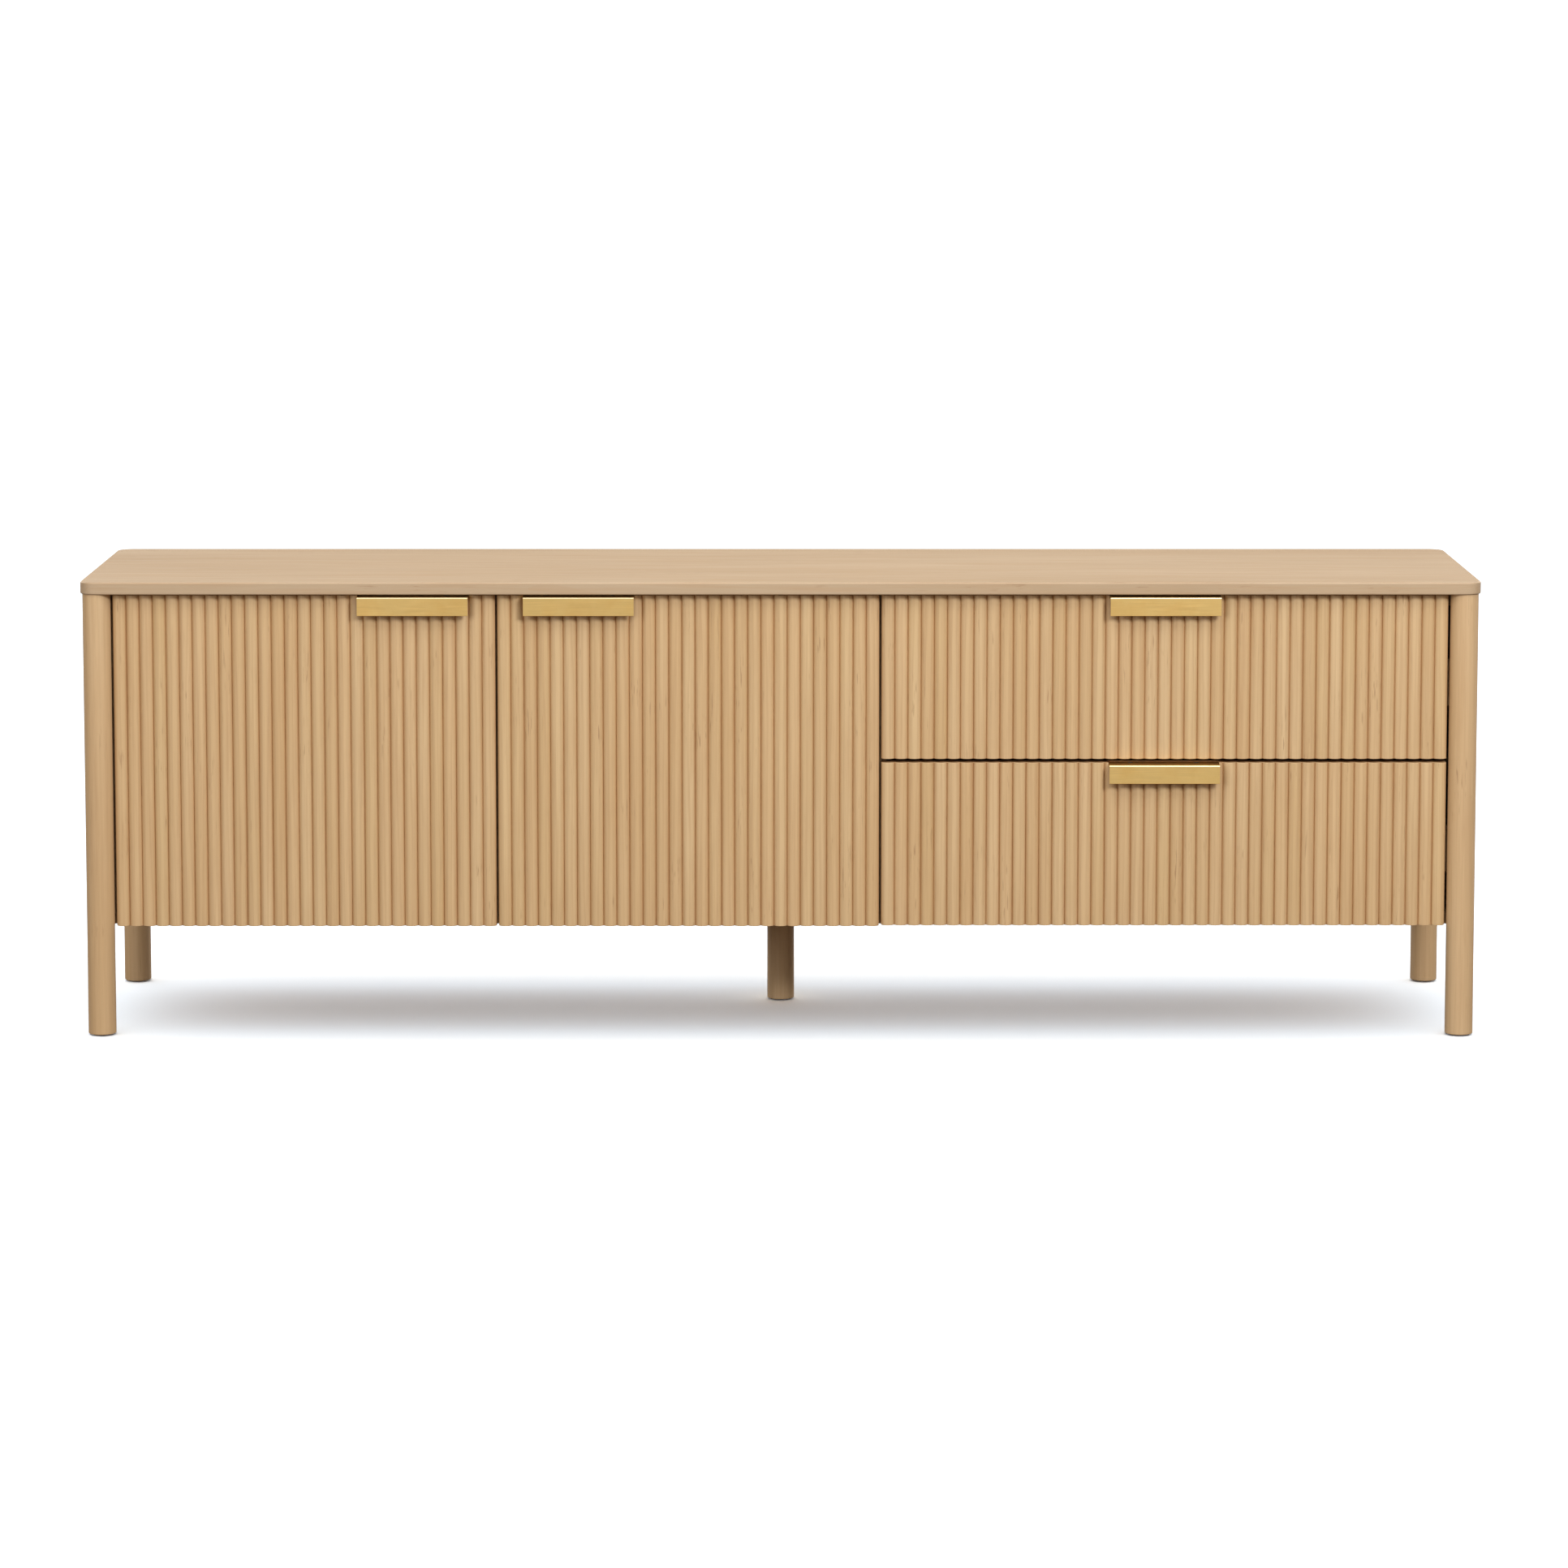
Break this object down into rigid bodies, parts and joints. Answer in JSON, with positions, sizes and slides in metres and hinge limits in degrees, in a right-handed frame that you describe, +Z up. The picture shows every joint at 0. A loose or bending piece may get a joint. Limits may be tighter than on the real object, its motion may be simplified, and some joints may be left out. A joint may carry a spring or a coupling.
{
  "type": "media cabinet",
  "caption": "Low wooden media cabinet on round posts, with reeded hinged doors on one side, stacked reeded drawers on the other and brass edge pulls.",
  "frame": {"origin": "on the floor, under the middle of the top", "axes": "+Z up, +X to the right seen from the front, the front faces -Y"},
  "size_m": [1.8, 0.4, 0.592],
  "materials": {
    "back_wood": "oak faced thin panel, matt",
    "brass": "brushed brass, satin",
    "case_wood": "oak veneered board, matt lacquer",
    "drawer_wood": "birch drawer box, clear lacquer",
    "front_wood": "oak veneered board, matt lacquer",
    "glide": "dark brown plastic",
    "hinge_steel": "nickel plated pressed steel",
    "leg_wood": "pale natural oak, matt lacquer",
    "pad": "clear soft rubber",
    "screw_steel": "zinc plated steel",
    "side_wood": "oak veneered panel, matt lacquer",
    "slat_wood": "pale natural oak half-round strips, matt lacquer",
    "slide_steel": "zinc plated steel",
    "top_wood": "pale natural oak veneer, matt lacquer"
  },
  "bodies": {
    "carcass": {"back_panel_left": "back_wood", "back_panel_middle": "back_wood", "back_panel_right": "back_wood", "case_floor": "case_wood", "case_screws": "screw_steel", "centre_leg": "leg_wood", "centre_leg_bolt": "screw_steel", "foot_glides": "glide", "hinge_arms": "hinge_steel", "hinge_batten": "case_wood", "hinge_plates": "hinge_steel", "partition_left": "case_wood", "partition_right": "case_wood", "post_dowels": "case_wood", "post_front_left": "leg_wood", "post_front_right": "leg_wood", "post_rear_left": "leg_wood", "post_rear_right": "leg_wood", "runner_battens": "case_wood", "shelf_left": "case_wood", "shelf_middle": "case_wood", "shelf_pegs": "screw_steel", "side_panel_left": "side_wood", "side_panel_right": "side_wood", "slide_outers": "slide_steel", "soft_pads": "pad", "top_rail_front": "case_wood", "top_rail_rear": "case_wood", "top_slab": "top_wood"},
    "left_door": {"left_door_board": "front_wood", "left_door_hinge_cups": "hinge_steel", "left_door_hinge_pins": "screw_steel", "left_door_pull": "brass", "left_door_screws": "screw_steel", "left_door_slats": "slat_wood"},
    "middle_door": {"middle_door_board": "front_wood", "middle_door_hinge_cups": "hinge_steel", "middle_door_hinge_pins": "screw_steel", "middle_door_pull": "brass", "middle_door_screws": "screw_steel", "middle_door_slats": "slat_wood"},
    "upper_slide_middle": {"upper_drawer_slide_middles": "slide_steel"},
    "lower_slide_middle": {"lower_drawer_slide_middles": "slide_steel"},
    "upper_drawer": {"upper_drawer_board": "front_wood", "upper_drawer_bottom": "drawer_wood", "upper_drawer_ends": "drawer_wood", "upper_drawer_pull": "brass", "upper_drawer_screws": "screw_steel", "upper_drawer_sides": "drawer_wood", "upper_drawer_slats": "slat_wood", "upper_drawer_slide_inners": "slide_steel"},
    "lower_drawer": {"lower_drawer_board": "front_wood", "lower_drawer_bottom": "drawer_wood", "lower_drawer_ends": "drawer_wood", "lower_drawer_pull": "brass", "lower_drawer_screws": "screw_steel", "lower_drawer_sides": "drawer_wood", "lower_drawer_slats": "slat_wood", "lower_drawer_slide_inners": "slide_steel"}
  },
  "joints": [
    {"name": "left_door_hinge", "type": "hinge", "parent": "carcass", "child": "left_door", "pos_m": [-0.8475, -0.1745, 0.3585], "axis": [0, 0, -1], "range_deg": [0, 90]},
    {"name": "middle_door_hinge", "type": "hinge", "parent": "carcass", "child": "middle_door", "pos_m": [0.11605, -0.1745, 0.3585], "axis": [0, 0, 1], "range_deg": [0, 90]},
    {"name": "upper_drawer_slide", "type": "slide", "parent": "carcass", "child": "upper_drawer", "axis": [0, -1, 0], "range_m": [0, 0.28]},
    {"name": "lower_drawer_slide", "type": "slide", "parent": "carcass", "child": "lower_drawer", "axis": [0, -1, 0], "range_m": [0, 0.28]},
    {"name": "upper_middle_slide", "type": "slide", "parent": "carcass", "child": "upper_slide_middle", "axis": [0, -1, 0], "range_m": [0, 0.14]},
    {"name": "lower_middle_slide", "type": "slide", "parent": "carcass", "child": "lower_slide_middle", "axis": [0, -1, 0], "range_m": [0, 0.14]}
  ],
  "couplings": [
    {"joint": "upper_middle_slide", "follows": "upper_drawer_slide", "ratio": 0.5},
    {"joint": "lower_middle_slide", "follows": "lower_drawer_slide", "ratio": 0.5}
  ]
}
